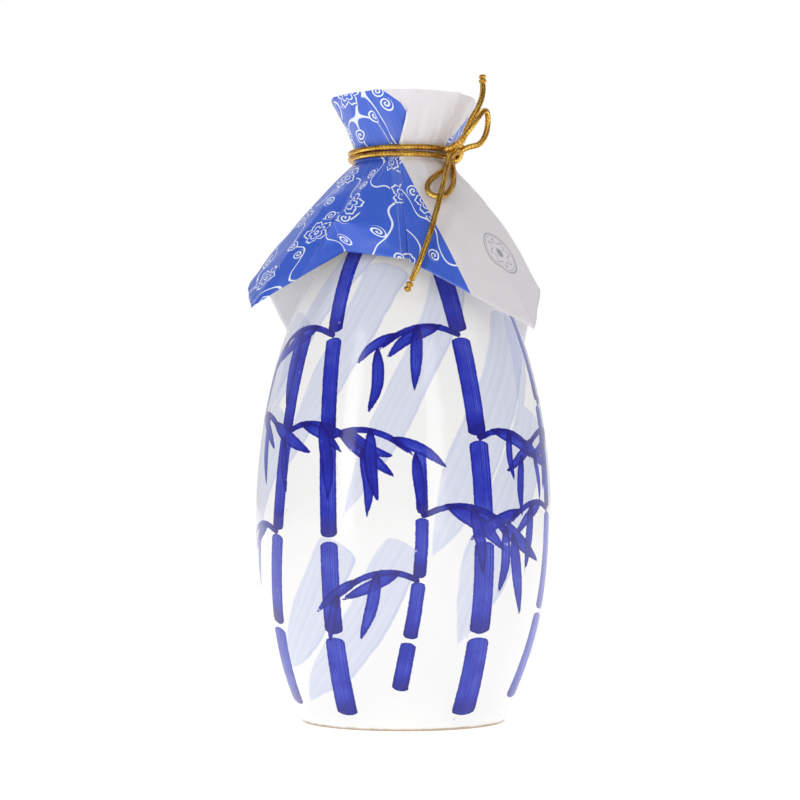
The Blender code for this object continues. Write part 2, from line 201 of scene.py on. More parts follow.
def smooth(points, pieces=8):
    """The Catmull-Rom curve through points: between b and c, with neighbours a and d,
    it is half of 2b + (c-a)t + (2a-5b+4c-d)t^2 + (3b-a-3c+d)t^3."""
    p = np.array(points, float)
    p = np.vstack([2 * p[0] - p[1], p, 2 * p[-1] - p[-2]])
    a, b, c, d = (p[k:len(p) - 3 + k, None] for k in range(4))
    t = (np.arange(pieces) / pieces)[None, :, None]
    curve = 0.5 * (2 * b + (c - a) * t + (2 * a - 5 * b + 4 * c - d) * t**2 + (3 * b - a - 3 * c + d) * t**3)
    return np.vstack([curve.reshape(-1, p.shape[1]), p[-2:-1]])


def unit(vectors):
    """Each vector divided by its own length."""
    return vectors / np.maximum(np.linalg.norm(vectors, axis=-1, keepdims=True), 1e-12)


def surface(name, grid, along, round_it, ring=False, poles=(None, None), sharp=None):
    """A mesh of a grid of points. Each point joins its neighbours in quads, and the columns close on
    themselves. ring closes the rows too, and a pole closes the first or last row with triangles.
    The UV map holds along for each row and round_it for each column, with one more where they close."""
    rows, columns = grid.shape[:2]
    r, c = np.meshgrid(np.arange(rows if ring else rows - 1), np.arange(columns), indexing="ij")
    corners = ((0, 0), (0, 1), (1, 1), (1, 0))
    quads = np.stack([((r + i) % rows) * columns + (c + j) % columns for i, j in corners], -1).reshape(-1, 4)
    maps = [np.stack([np.stack([along[r + i], round_it[c + j]], -1) for i, j in corners], -2).reshape(-1, 2)]
    points, faces = [grid.reshape(-1, 3)], quads.tolist()
    first = np.arange(columns)
    for pole, row in ((poles[0], 0), (poles[1], rows - 1)):
        if pole is None:
            continue
        middle = sum(len(p) for p in points)
        points.append(np.array([pole], float))
        start, end = row * columns + first, row * columns + (first + 1) % columns
        fan = (start, np.full(columns, middle), end) if row == 0 else (end, np.full(columns, middle), start)
        faces += np.stack(fan, -1).tolist()
        around = (round_it[first], (round_it[first] + round_it[first + 1]) / 2, round_it[first + 1])
        around = around if row == 0 else around[::-1]
        maps.append(np.stack([np.stack([np.full(columns, along[row]), v], -1) for v in around], -2).reshape(-1, 2))
    mesh = bpy.data.meshes.new(name)
    mesh.from_pydata(np.vstack(points).tolist(), [], faces)
    layer = mesh.uv_layers.new(name="surface")
    layer.data.foreach_set("uv", np.vstack(maps).astype(np.float32).ravel())
    work = bmesh.new()
    work.from_mesh(mesh)
    bmesh.ops.recalc_face_normals(work, faces=work.faces)
    work.to_mesh(mesh)
    work.free()
    mesh.shade_smooth()
    if sharp is not None:
        mesh.set_sharp_from_angle(angle=sharp)
    obj = bpy.data.objects.new(name, mesh)
    bpy.context.scene.collection.objects.link(obj)
    return obj


def carried(side, turn):
    """The side vector moved on to the next tangent: what points along that tangent is taken out."""
    moved = side - turn * (side @ turn)
    return moved / np.linalg.norm(moved)


def tube(name, route, radius, sides=16):
    """A round tube on a route: each ring is route + radius (side cos v + up sin v). The side vector is
    carried from ring to ring without twist. The UV map holds metres along the route and turns round it."""
    tangents = unit(np.gradient(route, axis=0))
    start = unit(np.cross(tangents[0], (0.31, 0.52, 0.80)))
    side = np.array(list(accumulate([start, *tangents[1:]], carried)))
    up = np.cross(tangents, side)
    angle = np.arange(sides) * math.tau / sides
    thick = np.broadcast_to(radius, len(route))[:, None, None]
    ring = side[:, None] * np.cos(angle)[:, None] + up[:, None] * np.sin(angle)[:, None]
    length = np.concatenate([[0.0], np.cumsum(np.linalg.norm(np.diff(route, axis=0), axis=1))])
    return surface(name, route[:, None] + thick * ring, length, np.arange(sides + 1) / sides,
                   poles=(route[0] - tangents[0] * 0.0002, route[-1] + tangents[-1] * 0.0002))


def node(tree, kind, inputs=None, **settings):
    """A new shader node with its settings. An input takes a constant or another node's output."""
    made = tree.nodes.new("ShaderNode" + kind)
    for key, value in settings.items():
        setattr(made, key, value)
    for key, value in (inputs or {}).items():
        if isinstance(value, bpy.types.NodeSocket):
            tree.links.new(value, made.inputs[key])
        else:
            made.inputs[key].default_value = value
    return made


def calc(tree, operation, a, b=0.0, c=0.0, clamp=False):
    """The output of one Math node."""
    return node(tree, "Math", {0: a, 1: b, 2: c}, operation=operation, use_clamp=clamp).outputs[0]


def fade(tree, value, low, high):
    """0 below low and 1 above high, with a smooth step between. low may be the larger one."""
    made = node(tree, "MapRange", {"Value": value, "From Min": low, "From Max": high},
                interpolation_type="SMOOTHSTEP")
    return made.outputs["Result"]


def blend_colour(tree, share, a, b, kind="MIX"):
    """Colour a changed to b by a share."""
    made = node(tree, "Mix", {0: share, 6: a, 7: b}, data_type="RGBA", blend_type=kind)
    return made.outputs[2]


def grain(tree, vector, scale, detail=3.0, roughness=0.55):
    """The value of a noise texture on a vector."""
    return node(tree, "TexNoise", {"Vector": vector, "Scale": scale, "Detail": detail,
                                   "Roughness": roughness}).outputs["Fac"]


def stretched(tree, vector, scale):
    """A vector with each axis multiplied by its own scale."""
    return node(tree, "VectorMath", {0: vector, 1: scale}, operation="MULTIPLY").outputs[0]


def principled(name):
    """A new material with its tree and its Principled shader."""
    made = bpy.data.materials.new(name)
    made.use_nodes = True
    return made, made.node_tree, made.node_tree.nodes["Principled BSDF"]


def plug_in(tree, shader, **sockets):
    """Joins outputs to the shader's sockets, whose names have _ for a space."""
    for key, output in sockets.items():
        tree.links.new(output, shader.inputs[key.replace("_", " ")])


def bumped(tree, height, distance, strength=1.0):
    """The normal of a Bump node over a height."""
    return node(tree, "Bump", {"Height": height, "Distance": distance, "Strength": strength}).outputs[0]


gilt, tree, shader = principled("gilt_foil")
shader.inputs["Metallic"].default_value = 1.0
foil_map = node(tree, "UVMap", uv_map="surface").outputs[0]
foil_split = node(tree, "SeparateXYZ", {0: foil_map})
lay = calc(tree, "FRACT", calc(tree, "ADD", calc(tree, "MULTIPLY", foil_split.outputs[0], 1 / 0.0011),
                               foil_split.outputs[1]))
seam = fade(tree, calc(tree, "ABSOLUTE", calc(tree, "SUBTRACT", lay, 0.5)), 0.36, 0.5)
streaks = grain(tree, stretched(tree, foil_map, (170.0, 11.0, 1.0)), 1.0)
crinkle = grain(tree, stretched(tree, foil_map, (1500.0, 7.0, 1.0)), 1.0, 4.0)
# Painted reflection: brown streaks along the cord stand in for the dark surroundings mirrored in the shiny foil.
painted_dark_reflection = fade(tree, streaks, 0.62, 0.40)
gold = blend_colour(tree, painted_dark_reflection, (0.98, 0.66, 0.13, 1.0), (0.42, 0.17, 0.02, 1.0))
# Painted highlight: the gold turns paler yellow where the crinkle texture peaks, standing in for glints.
gold = blend_colour(tree, fade(tree, crinkle, 0.60, 0.78), gold, (1.0, 0.80, 0.30, 1.0))
# Painted shade: the gold turns dark brown at the seams between the foil's laps, the grooves that the bump sinks.
gold = blend_colour(tree, calc(tree, "MULTIPLY", seam, 0.55), gold, (0.24, 0.10, 0.02, 1.0))
foil_height = calc(tree, "SUBTRACT", calc(tree, "MULTIPLY_ADD", crinkle, 0.8, calc(tree, "MULTIPLY", streaks, 0.8)),
                   calc(tree, "MULTIPLY", seam, 0.5))
plug_in(tree, shader, Base_Color=gold, Roughness=calc(tree, "MULTIPLY_ADD", crinkle, 0.30, 0.14),
        Normal=bumped(tree, foil_height, 0.00013))


def gild(obj, *nodes):
    """The gilt finish and the closure's motion, for a piece of cord that stands for CAD nodes."""
    obj.data.materials.append(gilt)
    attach(obj, "closure")
    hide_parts(*nodes)


turn_angle = np.linspace(0.0, math.tau, 145)
turn_parts = []
for turn_side in (1.0, -1.0):
    near_knot = np.exp(-((turn_angle - knot_azimuth) / 0.55) ** 2)
    level = turns_level + turn_side * (0.00095 + 0.00022 * near_knot) + 0.00010 * np.sin(2 * turn_angle + turn_side)
    radius = turns_radius - 0.00004 + 0.00005 * np.sin(5 * turn_angle + 2 * turn_side)
    turn_parts.append(np.stack([radius * np.sin(turn_angle), -radius * np.cos(turn_angle), level], -1))


def cord_ring(name, route, sides=16):
    """A closed tube on a level route: each ring is route + radius (out cos v + up sin v)."""
    out = unit(route * (1.0, 1.0, 0.0))
    angle = np.arange(sides) * math.tau / sides
    ring = out[:, None] * np.cos(angle)[:, None] + np.array((0.0, 0.0, 1.0)) * np.sin(angle)[:, None]
    length = np.linspace(0.0, math.tau * turns_radius, len(route))
    return surface(name, (route[:, None] + cord_diameter / 2 * ring)[:-1], length, np.arange(sides + 1) / sides,
                   ring=True)


for turn_name, turn_route in zip(("cord_turn_upper", "cord_turn_lower"), turn_parts):
    gild(cord_ring(turn_name, turn_route), "cord_turns")

wraps = {
    "knot_wrap_outer": [(-0.0031, -0.0006, 0.0004), (-0.0024, 0.0008, 0.0010), (-0.0008, 0.0014, 0.0021),
                        (0.0010, 0.0015, 0.0024), (0.0024, 0.0012, 0.0013), (0.0029, 0.0006, -0.0003),
                        (0.0025, -0.0004, -0.0016), (0.0010, -0.0010, -0.0021), (-0.0010, -0.0010, -0.0016)],
    "knot_wrap_inner": [(-0.0029, -0.0004, -0.0011), (-0.0018, 0.0010, -0.0005), (-0.0003, 0.0016, 0.0006),
                        (0.0012, 0.0013, 0.0002), (0.0021, 0.0009, -0.0012), (0.0014, 0.0002, -0.0024),
                        (-0.0003, -0.0006, -0.0023), (-0.0014, -0.0010, -0.0008)],
    "knot_core": [(-0.0024, -0.0004, 0.0002), (-0.0008, 0.0000, 0.0004), (0.0010, 0.0000, -0.0002),
                  (0.0022, -0.0003, -0.0002)],
}
for wrap_name, wrap_points in wraps.items():
    wrap_route = smooth([in_knot(*p) for p in wrap_points]) + knot_middle
    gild(tube(wrap_name, wrap_route, cord_diameter / 2), "cord_knot")


def bound_end(name, route, cad_node):
    """A tail's end: the cord's tip bound twice, a tube whose radius swells at each binding."""
    along = unit(route[-1] - route[-2])
    low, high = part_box(cad_node)
    middle = np.array((low + high) / 2)
    share = np.linspace(-1.0, 1.0, 41)
    swell = 0.00052 * np.exp(-((share + 0.45) / 0.30) ** 4) + 0.00046 * np.exp(-((share - 0.50) / 0.30) ** 4)
    radius = (0.00068 + swell) * np.sqrt(np.clip(1.02 - share**6, 0.0, 1.0))
    piece = tube(name, middle + share[:, None] * 0.0017 * along, radius, sides=24)
    gild(piece, cad_node)
    return piece


cord_ends = {
    "gilt_cord_lower": (
        [in_knot(-0.0016, 0.0016, 0.0012), *right_loop, in_knot(0.0012, 0.0012, 0.0001),
         in_knot(-0.0018, 0.0014, -0.0008), *lower_tail],
        ("bow_loop_right", "cord_tail_lower"), "end_knot_lower",
    ),
    "gilt_cord_upper": (
        [in_knot(-0.0024, 0.0000, -0.0022), *lower_loop, in_knot(-0.0003, -0.0004, -0.0028),
         in_knot(0.0004, 0.0006, 0.0004), *upper_tail],
        ("bow_loop_lower", "cord_tail_upper"), "end_knot_upper",
    ),
}
for cord_name, (cord_points, stood_for, end_node) in cord_ends.items():
    cord_route = smooth(cord_points) + knot_middle
    cord_piece = tube(cord_name, cord_route, cord_diameter / 2)
    gild(cord_piece, *stood_for)
    end_piece = bound_end(end_node.replace("knot", "binding"), cord_route, end_node)

# Bottle
#
# One hollow slip-cast body of white porcelain. Bamboo is brushed on the raw clay in cobalt, broad washes
# first and dark canes and leaves over them, under a clear glaze. The foot ring is wiped bare.

bottle_low, bottle_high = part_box("bottle")
belly_radius = bottle_high.x
mouth = bottle_high.z
belly_height = 0.0620
foot_radius = 0.0316
foot_fullness = 2.4
shoulder_rise = 0.0970
neck_radius = 0.0145
neck_fillet = 0.0040
bore_radius = 0.0095
wall = 0.0055
floor_height = 0.0074
foot_ring_width = 0.0045
foot_recess = 0.0014
lip_round = 0.0012
foot_round = 0.0008

shoulder_end_radius = neck_radius + neck_fillet
shoulder_end = belly_height + shoulder_rise * math.sqrt(1 - (shoulder_end_radius / belly_radius) ** 2)
shoulder_slope = (belly_radius / shoulder_rise) ** 2 * (shoulder_end - belly_height) / shoulder_end_radius
fillet_turn = shoulder_end + neck_fillet / shoulder_slope
neck_start = fillet_turn + math.hypot(neck_fillet, fillet_turn - shoulder_end)


def arc(centre, radius, start, end, steps):
    """Points of an arc in the (radius, height) plane: centre + radius (cos a, sin a), a in degrees."""
    a = np.radians(np.linspace(start, end, steps))
    return np.stack([centre[0] + radius * np.cos(a), centre[1] + radius * np.sin(a)], -1)


def bend(start, corner, end, steps):
    """Points of the quadratic curve (1-t)^2 start + 2t(1-t) corner + t^2 end."""
    t = np.linspace(0.0, 1.0, steps)[:, None]
    return (1 - t) ** 2 * np.array(start) + 2 * t * (1 - t) * np.array(corner) + t**2 * np.array(end)


low_z = np.linspace(0.0, belly_height, 68)[:-1]
below = np.stack([foot_radius + (belly_radius - foot_radius) * (1 - (1 - low_z / belly_height) ** foot_fullness),
                  low_z], -1)
shoulder_angle = np.linspace(0.0, math.asin((shoulder_end - belly_height) / shoulder_rise), 100)
above = np.stack([belly_radius * np.cos(shoulder_angle), belly_height + shoulder_rise * np.sin(shoulder_angle)], -1)
fillet = bend(above[-1], (neck_radius, fillet_turn), (neck_radius, neck_start), 9)[1:]
outside = np.vstack([below, above, fillet])
inward = unit(np.gradient(outside, axis=0)) @ np.array([[0.0, 1.0], [-1.0, 0.0]])
moved_in = (outside + wall * inward)[::3]
inner_wall = moved_in[(moved_in[:, 1] > floor_height + 0.005) & (moved_in[:, 0] > bore_radius + neck_fillet)]
cove = bend((inner_wall[0, 0] - 0.005, floor_height), (inner_wall[0, 0] - 0.0017, floor_height), inner_wall[0], 6)
throat = bend(inner_wall[-1], (bore_radius, inner_wall[-1, 1] + neck_fillet), (bore_radius, neck_start), 8)
foot_inner = foot_radius - foot_ring_width
profile = np.vstack([
    cove[:-1], inner_wall[:-1], throat,
    arc((bore_radius + lip_round, mouth - lip_round), lip_round, 180, 90, 6),
    arc((neck_radius - lip_round, mouth - lip_round), lip_round, 90, 0, 6),
    outside[outside[:, 1] > 2 * foot_round][::-1],
    arc((foot_radius - foot_round, foot_round), foot_round, 0, -90, 5),
    [(foot_inner, 0.0), (foot_inner - foot_recess, foot_recess)],
])
bottle_columns = 320
bottle_turn = np.arange(bottle_columns) * math.tau / bottle_columns
bottle_grid = np.stack([
    profile[:, :1] * np.sin(bottle_turn), -profile[:, :1] * np.cos(bottle_turn),
    np.broadcast_to(profile[:, 1:], (len(profile), bottle_columns)),
], -1)
profile_length = np.concatenate([[0.0], np.cumsum(np.linalg.norm(np.diff(profile, axis=0), axis=1))])
bottle = surface("porcelain_bottle", bottle_grid, profile_length, np.arange(bottle_columns + 1) / bottle_columns,
                 poles=((0.0, 0.0, floor_height), (0.0, 0.0, foot_recess)))
bottle.data.set_sharp_from_angle(angle=math.radians(50.0))


def on_bottle(azimuth, height):
    """Points on the glaze at azimuths in degrees from the front and heights in millimetres."""
    z = height / 1000
    radius = np.interp(z, outside[:, 1], outside[:, 0])
    a = np.radians(azimuth)
    return np.stack([radius * np.sin(a), -radius * np.cos(a), z], -1)


# A stroke is its layer, its half width in mm, the shares of its length where it has swelled to full width
# and where it starts to thin out, and its line as azimuth and height.
strokes = []
painter = np.random.default_rng(23)


def cane_place(cane, t):
    """Azimuth and height at share t of a cane: foot azimuth + lean t + 4 sin(pi t), and foot + (top - foot) t."""
    foot_azimuth, lean, foot, top = cane[:4]
    return np.stack([foot_azimuth + lean * t + 4 * np.sin(math.pi * t), foot + (top - foot) * t], -1)


def paint_spray(azimuth, height, side, size, leaves, first_layer):
    """A drooping twig and its leaves. The twig's point at share t lies side size t out and
    size (0.5 t - 0.7 t^2) up, and the leaves hang from it at angles that alternate about straight down."""
    t = np.linspace(0.0, 1.0, leaves + 1)
    twig = np.stack([side * size * t, size * (0.5 * t - 0.7 * t**2)], -1)
    lines = [(1, 0.95, 0.0, 0.8, twig)]
    for number, base in enumerate(twig[1:]):
        angle = math.radians(side * (34 + 25 * (-1) ** number) + painter.uniform(-8, 8))
        length = size * painter.uniform(0.60, 0.85)
        ahead = np.array((math.sin(angle), -math.cos(angle)))
        bow = np.array((ahead[1], -ahead[0])) * length * painter.uniform(-0.09, 0.09)
        leaf = np.array([base - ahead * 1.8, base + ahead * length / 2 + bow, base + ahead * length])
        lines.append((2 + (first_layer + number) % 4, length * 0.092, 0.35, 0.45, leaf))
    for layer, half, swelled, thin, line in lines:
        z = np.maximum(height + line[:, 1], 2.0)
        around = np.interp(z / 1000, outside[:, 1], outside[:, 0]) * 1000
        strokes.append((layer, half, swelled, thin, np.stack([azimuth + np.degrees(line[:, 0] / around), z], -1)))


# Canes lie in the first layer, twigs in the second and neighbouring leaves in different ones above, so each
# leaf keeps its own edge. A cane is its azimuth at the foot, its lean in degrees, its foot and top heights,
# its half width and its number of lengths. Bare clay shows for about a millimetre at each joint.
canes = [
    (-66, 14, 6, 120, 3.4, 4), (-29, -9, 4, 150, 3.2, 5), (-2, 8, 12, 84, 2.3, 4), (31, -9, 4, 150, 3.7, 5),
    (64, 10, 8, 132, 3.2, 4), (97, -13, 6, 118, 3.4, 4), (131, 9, 4, 150, 3.0, 5), (160, -8, 10, 96, 2.3, 4),
    (192, 12, 4, 128, 3.7, 4), (226, -10, 6, 150, 3.1, 5), (262, 8, 8, 124, 3.2, 4),
]
for number, cane in enumerate(canes):
    half, lengths = cane[4:]
    cuts = np.linspace(0.0, 1.0, lengths + 1) ** 1.1
    bare = (0.4 * half + 0.5) / (cane[3] - cane[2])
    for start, end in zip(cuts, cuts[1:]):
        line = cane_place(cane, np.linspace(start + bare, end - bare, 3))
        strokes.append((0, half * (1 - 0.3 * start), 0.0, 1.0, line))
    for joint, side in ((lengths - 1, 1), (lengths - 2, -1)):
        azimuth, height = cane_place(cane, cuts[joint])
        turned = side * (-1) ** number
        paint_spray(azimuth, height, turned, painter.uniform(24, 31), 4, 2 * (joint % 2))

washes = []
for lap in (0, 121, 238):
    washes += [
        (0, 6.0, 0.0, 0.5, [(lap - 10, 138), (lap - 30, 110), (lap - 54, 76)]),
        (0, 8.0, 0.0, 0.6, [(lap + 62, 122), (lap + 34, 90), (lap + 10, 52)]),
        (1, 5.5, 0.0, 0.5, [(lap + 26, 134), (lap - 1, 98), (lap - 24, 62)]),
        (0, 7.0, 0.0, 0.6, [(lap - 26, 54), (lap - 40, 34), (lap - 58, 18)]),
        (1, 9.0, 0.0, 0.6, [(lap + 63, 92), (lap + 40, 62), (lap + 22, 26)]),
        (1, 6.5, 0.0, 0.6, [(lap + 0, 54), (lap - 20, 28), (lap - 52, 8)]),
        (1, 5.0, 0.0, 0.5, [(lap - 30, 146), (lap - 52, 122), (lap - 68, 92)]),
    ]

bottle_points = np.zeros(len(bottle.data.vertices) * 3, np.float32)
bottle.data.vertices.foreach_get("co", bottle_points)
bottle_points = bottle_points.reshape(-1, 3).astype(float)
far_away = np.array((1.0, 0.0, 0.0))


def brushed(marks, layers):
    """For each layer an array of three values a vertex: the distance outside the nearest stroke's edge, the
    length along it and the place across it from -1 to 1. The edge lies at the half width, which swells from a
    point as 1 - (1 - t / swelled)^2 and thins to one as 1 - ((t - thin) / (1 - thin))^2."""
    fields = [np.tile(far_away, (len(bottle_points), 1)) for _ in range(layers)]
    for layer, half, swelled, thin, line in marks:
        course = smooth(line, 24)
        spots = on_bottle(course[:, 0], course[:, 1])
        length = np.concatenate([[0.0], np.cumsum(np.linalg.norm(np.diff(spots, axis=0), axis=1))])
        tangent = unit(np.gradient(spots, axis=0))
        across = np.cross(unit(spots * (1.0, 1.0, 0.0)), tangent)
        reach = half / 1000 + 0.004
        in_reach = (bottle_points > spots.min(0) - reach) & (bottle_points < spots.max(0) + reach)
        near = np.flatnonzero(in_reach.all(1))
        gap = bottle_points[near, None] - spots
        which = (gap**2).sum(-1).argmin(1)
        gap = gap[np.arange(len(near)), which]
        forward = (gap * tangent[which]).sum(-1)
        s = length[which] + forward
        sideways = (gap * across[which]).sum(-1)
        t = np.clip(s / length[-1], 0.0, 1.0)
        share = np.clip((t - thin) / max(1 - thin, 1e-6), 0.0, 1.0)
        growth = np.clip(1 - t / max(swelled, 1e-6), 0.0, 1.0) if swelled else 0.0
        half_here = half / 1000 * (1 - share**2) * (1 - growth**2)
        past = np.maximum(np.maximum(-s, s - length[-1]), 0.0)
        d = np.hypot(sideways, past * 2.5) - half_here
        better = d < fields[layer][near, 0]
        chosen = near[better]
        fields[layer][chosen] = np.stack([d, s, sideways / (half / 1000)], -1)[better]
    return fields


def store(obj, name, values):
    """Keeps three values a vertex on a piece, for its material."""
    held = obj.data.attributes.new(name, "FLOAT_VECTOR", "POINT")
    held.data.foreach_set("vector", values.astype(np.float32).ravel())


for number, values in enumerate(brushed(washes, 2)):
    store(bottle, f"wash_{number}", values)
for number, values in enumerate(brushed(strokes, 6)):
    store(bottle, f"stroke_{number}", values)


def new_group(name, inputs, outputs):
    """An empty node group with named sockets. Returns its tree, its input node and its output node."""
    group = bpy.data.node_groups.new(name, "ShaderNodeTree")
    for socket, kind in inputs.items():
        group.interface.new_socket(socket, in_out="INPUT", socket_type="NodeSocket" + kind)
    for socket, kind in outputs.items():
        group.interface.new_socket(socket, in_out="OUTPUT", socket_type="NodeSocket" + kind)
    return group, group.nodes.new("NodeGroupInput"), group.nodes.new("NodeGroupOutput")


# Cobalt from a loaded brush: dark where it lands and along its edges, thinner and streaked by the bristles
# along its run, and denser where it crosses paint that is there already.
brush, group_in, group_out = new_group(
    "cobalt_stroke", {"Colour": "Color", "Under": "Float", "Stroke": "Vector"}, {"Colour": "Color", "Under": "Float"}
)
parts = node(brush, "SeparateXYZ", {0: group_in.outputs["Stroke"]})
edge_gap, run, across = parts.outputs
body = node(brush, "TexCoord").outputs["Object"]
ragged = calc(brush, "MULTIPLY_ADD", grain(brush, body, 900.0), 0.0004, -0.0002)
inside = fade(brush, calc(brush, "ADD", edge_gap, ragged), 0.00010, -0.00012)
bristle_line = node(brush, "CombineXYZ", {0: calc(brush, "MULTIPLY", run, 16.0), 1: across,
                                          2: calc(brush, "MULTIPLY", run, 3.0)}).outputs[0]
bristles = grain(brush, stretched(brush, bristle_line, (1.0, 6.5, 1.0)), 1.0, 4.0, 0.65)
hairs = grain(brush, stretched(brush, bristle_line, (1.5, 24.0, 1.0)), 1.0, 2.0)
rim_dark = fade(brush, edge_gap, -0.0011, -0.0001)
head_dark = fade(brush, run, 0.0065, 0.0005)
pools = grain(brush, body, 130.0, 2.0)
density = calc(brush, "MULTIPLY_ADD", calc(brush, "SUBTRACT", bristles, 0.5), 1.60, 0.42)
density = calc(brush, "MULTIPLY_ADD", calc(brush, "SUBTRACT", hairs, 0.5), 1.00, density)
density = calc(brush, "MULTIPLY_ADD", calc(brush, "SUBTRACT", pools, 0.5), 0.70, density)
density = calc(brush, "MULTIPLY_ADD", rim_dark, 0.38, density)
density = calc(brush, "MULTIPLY_ADD", head_dark, 0.42, density)
density = calc(brush, "MULTIPLY_ADD", group_in.outputs["Under"], 0.20, density, clamp=True)
cobalt = node(brush, "ValToRGB", {0: density})
cobalt.color_ramp.elements[0].color = (0.085, 0.125, 0.600, 1.0)
cobalt.color_ramp.elements[1].color = (0.007, 0.003, 0.190, 1.0)
cobalt.color_ramp.elements.new(0.50).color = (0.014, 0.024, 0.430, 1.0)
brush.links.new(blend_colour(brush, inside, group_in.outputs["Colour"], cobalt.outputs[0]), group_out.inputs[0])
brush.links.new(calc(brush, "MAXIMUM", inside, group_in.outputs["Under"]), group_out.inputs[1])

# A wash: the same cobalt thinned with water, with a soft side and a side where it dried to a line.
thin_wash, group_in, group_out = new_group(
    "cobalt_wash", {"Colour": "Color", "Stroke": "Vector"}, {"Colour": "Color"}
)
parts = node(thin_wash, "SeparateXYZ", {0: group_in.outputs["Stroke"]})
edge_gap, run, across = parts.outputs
body = node(thin_wash, "TexCoord").outputs["Object"]
loose = calc(thin_wash, "MULTIPLY_ADD", grain(thin_wash, body, 60.0), 0.0030, -0.0015)
edge_gap = calc(thin_wash, "ADD", edge_gap, loose)
inside = fade(thin_wash, edge_gap, 0.0003, -0.0005)
dry_line = node(thin_wash, "CombineXYZ", {0: calc(thin_wash, "MULTIPLY", run, 10.0), 1: across}).outputs[0]
streak = grain(thin_wash, stretched(thin_wash, dry_line, (1.0, 4.0, 1.0)), 1.0, 4.0, 0.6)
wet_line = calc(thin_wash, "MULTIPLY", fade(thin_wash, edge_gap, -0.0012, -0.0002),
                fade(thin_wash, across, 0.0, 0.8))
pale = calc(thin_wash, "MULTIPLY_ADD", calc(thin_wash, "SUBTRACT", streak, 0.40), 0.60, 0.34, clamp=True)
pale = calc(thin_wash, "MULTIPLY_ADD", wet_line, 0.24, pale, clamp=True)
strength = calc(thin_wash, "MULTIPLY", inside, pale)
thin_wash.links.new(
    blend_colour(thin_wash, strength, group_in.outputs["Colour"], (0.36, 0.42, 0.70, 1.0)), group_out.inputs[0]
)

glaze, tree, shader = principled("painted_porcelain")
body = node(tree, "TexCoord").outputs["Object"]
white = blend_colour(tree, grain(tree, body, 22.0), (0.860, 0.852, 0.832, 1.0), (0.900, 0.895, 0.880, 1.0))
for number in range(2):
    layer = node(tree, "Attribute", attribute_name=f"wash_{number}").outputs["Vector"]
    colour = node(tree, "Group", {}, node_tree=thin_wash)
    tree.links.new(white, colour.inputs["Colour"])
    tree.links.new(layer, colour.inputs["Stroke"])
    white = colour.outputs[0]
colour, under = white, None
for number in range(6):
    layer = node(tree, "Attribute", attribute_name=f"stroke_{number}").outputs["Vector"]
    painted = node(tree, "Group", {}, node_tree=brush)
    tree.links.new(colour, painted.inputs["Colour"])
    tree.links.new(layer, painted.inputs["Stroke"])
    if under is not None:
        tree.links.new(under, painted.inputs["Under"])
    colour, under = painted.outputs["Colour"], painted.outputs["Under"]
pinholes = node(tree, "TexVoronoi", {"Vector": body, "Scale": 260.0})
pinhole = calc(tree, "MULTIPLY", fade(tree, pinholes.outputs["Distance"], 0.16, 0.08),
               fade(tree, node(tree, "SeparateXYZ", {0: pinholes.outputs["Color"]}).outputs[0], 0.88, 0.92))
colour = blend_colour(tree, calc(tree, "MULTIPLY", pinhole, 0.55), colour, (0.62, 0.52, 0.70, 1.0))
height = node(tree, "SeparateXYZ", {0: body}).outputs[2]
wiped = fade(tree, calc(tree, "MULTIPLY_ADD", grain(tree, body, 260.0), 0.0008, height), 0.00135, 0.00080)
bare = blend_colour(tree, grain(tree, body, 1500.0), (0.40, 0.27, 0.17, 1.0), (0.66, 0.55, 0.43, 1.0))
colour = blend_colour(tree, wiped, colour, bare)
orange_peel = calc(tree, "ADD", grain(tree, body, 70.0, 2.0),
                   calc(tree, "MULTIPLY", grain(tree, body, 420.0), 0.12))
shader.inputs["IOR"].default_value = 1.46
shader.inputs["Coat Roughness"].default_value = 0.04
plug_in(tree, shader, Base_Color=colour, Roughness=calc(tree, "MULTIPLY_ADD", wiped, 0.60, 0.16),
        Coat_Weight=calc(tree, "MULTIPLY_ADD", wiped, -0.35, 0.35), Normal=bumped(tree, orange_peel, 0.00035))
bottle.data.materials.append(glaze)
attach(bottle, "bottle")
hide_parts("bottle")

# Paper cover
#
# A square of coated paper, printed blue with a white scroll and crossed by a plain white band. It is laid
# over the stopper, pressed to it in four folded tucks and tied, and its corners stand off as flaps.

sheet_half = 0.0800
rim_reach = 0.0227  # how far from the sheet's middle the rim, the cord's top and the cord's foot fall
cinch_top_reach = 0.0408
cinch_foot_reach = 0.0455
cinch_top = turns_level + 0.0024
cinch_foot = turns_level - 0.0024
head_low, head_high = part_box("stopper_head")
head_top_radius, head_foot_radius = head_high.x, 0.0158
paper_top = head_high.z + 0.0006

